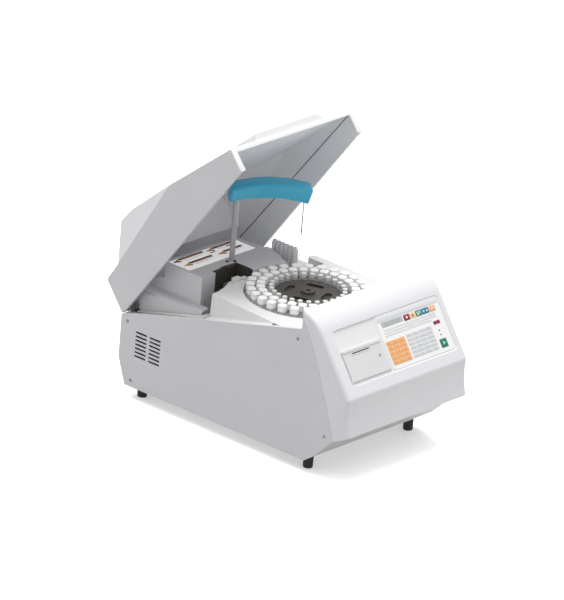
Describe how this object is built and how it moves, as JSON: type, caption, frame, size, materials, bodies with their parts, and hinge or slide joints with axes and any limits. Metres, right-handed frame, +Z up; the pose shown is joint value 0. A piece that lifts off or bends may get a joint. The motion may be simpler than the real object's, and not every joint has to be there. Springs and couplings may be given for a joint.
{
  "type": "benchtop chemistry analyzer",
  "caption": "Benchtop chemistry analyzer with a raised lid, a reagent carousel, a swinging probe arm, a sloping keypad fascia and a small built-in printer.",
  "frame": {"origin": "on the supporting surface, below the middle of the instrument with its lid raised", "axes": "+X to the user's right, +Y to the rear, +Z up"},
  "size_m": [0.42, 0.7763, 0.7138],
  "materials": {
    "panel_grey": "light grey fine-texture paint",
    "rear_metal": "grey fine-texture paint",
    "base_metal": "mid grey paint",
    "cover_plastic": "moulded, fine texture",
    "white_plastic": "moulded, fine texture",
    "lid_plastic": "moulded, fine texture",
    "liner_plastic": "moulded, matte",
    "deck_plastic": "moulded, matte",
    "platform_plastic": "moulded, matte",
    "black_plastic": "matte",
    "hub_plastic": "dark brown, matte",
    "cap_plastic": "semi-gloss",
    "bottle_plastic": "translucent look",
    "tube_plastic": "semi-gloss",
    "blue_plastic": "semi-gloss blue",
    "grey_plastic": "matte",
    "film": "printed film",
    "display": "tinted window",
    "label": "printed film",
    "rubber": "matte",
    "steel": "brushed",
    "aluminium": "anodised",
    "belt_rubber": "matte",
    "paper": "paper",
    "board": "green laminate"
  },
  "bodies": {
    "chassis": {"base_pan": "base_metal", "rubber_feet": "rubber", "side_panel_left": "panel_grey", "side_panel_right": "panel_grey", "panel_screws": "steel", "rear_panel": "rear_metal", "power_inlet": "black_plastic", "switch_frame": "black_plastic", "signal_ports": "steel", "cooling_fan": "black_plastic", "fan_guard": "steel", "front_cover": "cover_plastic", "fascia_panel": "white_plastic", "keypad_membrane": "film", "display_window": "display", "printer_bay": "black_plastic", "roll_spindle": "grey_plastic", "deck_tray": "deck_plastic", "service_tray": "deck_plastic", "rear_platform": "platform_plastic", "platform_label": "label", "platform_screws": "black_plastic", "reader_bracket": "black_plastic", "bearing_housing": "aluminium", "drive_bridge": "aluminium", "drive_motor": "grey_plastic", "drive_belt": "belt_rubber", "lift_tower": "aluminium", "column_bushing": "grey_plastic", "lift_rods": "steel", "wash_station": "white_plastic", "cuvette_rack": "grey_plastic", "hinge_blocks": "black_plastic", "power_supply": "aluminium", "main_board": "board"},
    "lid": {"lid_shell": "lid_plastic", "lid_liner": "liner_plastic", "lid_rim": "white_plastic", "hinge_leaves": "black_plastic"},
    "carousel": {"carousel_rotor": "hub_plastic", "carousel_hub": "hub_plastic", "reagent_bottles": "bottle_plastic", "bottle_caps": "cap_plastic", "sample_tubes": "tube_plastic", "tube_stoppers": "tube_plastic", "carousel_shaft": "steel"},
    "pulley": {"motor_pulley": "steel"},
    "carriage": {"lift_carriage": "aluminium", "lift_motor": "grey_plastic", "arm_column": "grey_plastic"},
    "arm": {"swing_motor": "grey_plastic", "arm_beam": "grey_plastic", "arm_cover": "blue_plastic", "probe_needle": "steel"},
    "door": {"printer_door": "white_plastic"},
    "lock": {"door_lock": "grey_plastic"},
    "roll": {"paper_roll": "paper"},
    "platen": {"platen_roller": "rubber"},
    "fan": {"fan_rotor": "black_plastic"},
    "rocker": {"power_rocker": "black_plastic"}
  },
  "joints": [
    {"name": "lid_hinge", "type": "hinge", "parent": "chassis", "child": "lid", "pos_m": [0, 0.322, 0.206], "axis": [1, 0, 0], "range_deg": [0, 40.1]},
    {"name": "carousel_spin", "type": "hinge", "parent": "chassis", "child": "carousel", "pos_m": [0, -0.053, 0.3], "axis": [0, 0, 1], "continuous": true},
    {"name": "pulley_spin", "type": "hinge", "parent": "chassis", "child": "pulley", "pos_m": [0.1, -0.13, 0.18], "axis": [0, 0, 1], "continuous": true},
    {"name": "arm_lift", "type": "slide", "parent": "chassis", "child": "carriage", "axis": [0, 0, 1], "range_m": [-0.146, 0]},
    {"name": "arm_swing", "type": "hinge", "parent": "carriage", "child": "arm", "pos_m": [-0.017, 0.172, 0.3], "axis": [0, 0, 1], "range_deg": [-75, 0]},
    {"name": "door_hinge", "type": "hinge", "parent": "chassis", "child": "door", "pos_m": [-0.1063, -0.35177, 0.24641], "axis": [1, 0, 0], "range_deg": [0, 80]},
    {"name": "lock_turn", "type": "hinge", "parent": "door", "child": "lock", "pos_m": [-0.058, -0.33121, 0.27804], "axis": [0, -0.8161, 0.5779], "range_deg": [0, 90]},
    {"name": "roll_spin", "type": "hinge", "parent": "chassis", "child": "roll", "pos_m": [-0.112, -0.30271, 0.24561], "axis": [1, 0, 0], "continuous": true},
    {"name": "platen_spin", "type": "hinge", "parent": "chassis", "child": "platen", "pos_m": [-0.112, -0.3052, 0.28536], "axis": [1, 0, 0], "continuous": true},
    {"name": "fan_spin", "type": "hinge", "parent": "chassis", "child": "fan", "pos_m": [-0.11, 0.316, 0.144], "axis": [0, 1, 0], "continuous": true},
    {"name": "rocker_tilt", "type": "hinge", "parent": "chassis", "child": "rocker", "pos_m": [0.108, 0.325, 0.128], "axis": [0, 0, 1], "range_deg": [-15, 0]}
  ],
  "couplings": [
    {"joint": "pulley_spin", "follows": "carousel_spin", "ratio": 4},
    {"joint": "arm_lift", "follows": "lid_hinge", "m_per_rad": -0.20861},
    {"joint": "platen_spin", "follows": "roll_spin", "ratio": -3.6667}
  ]
}
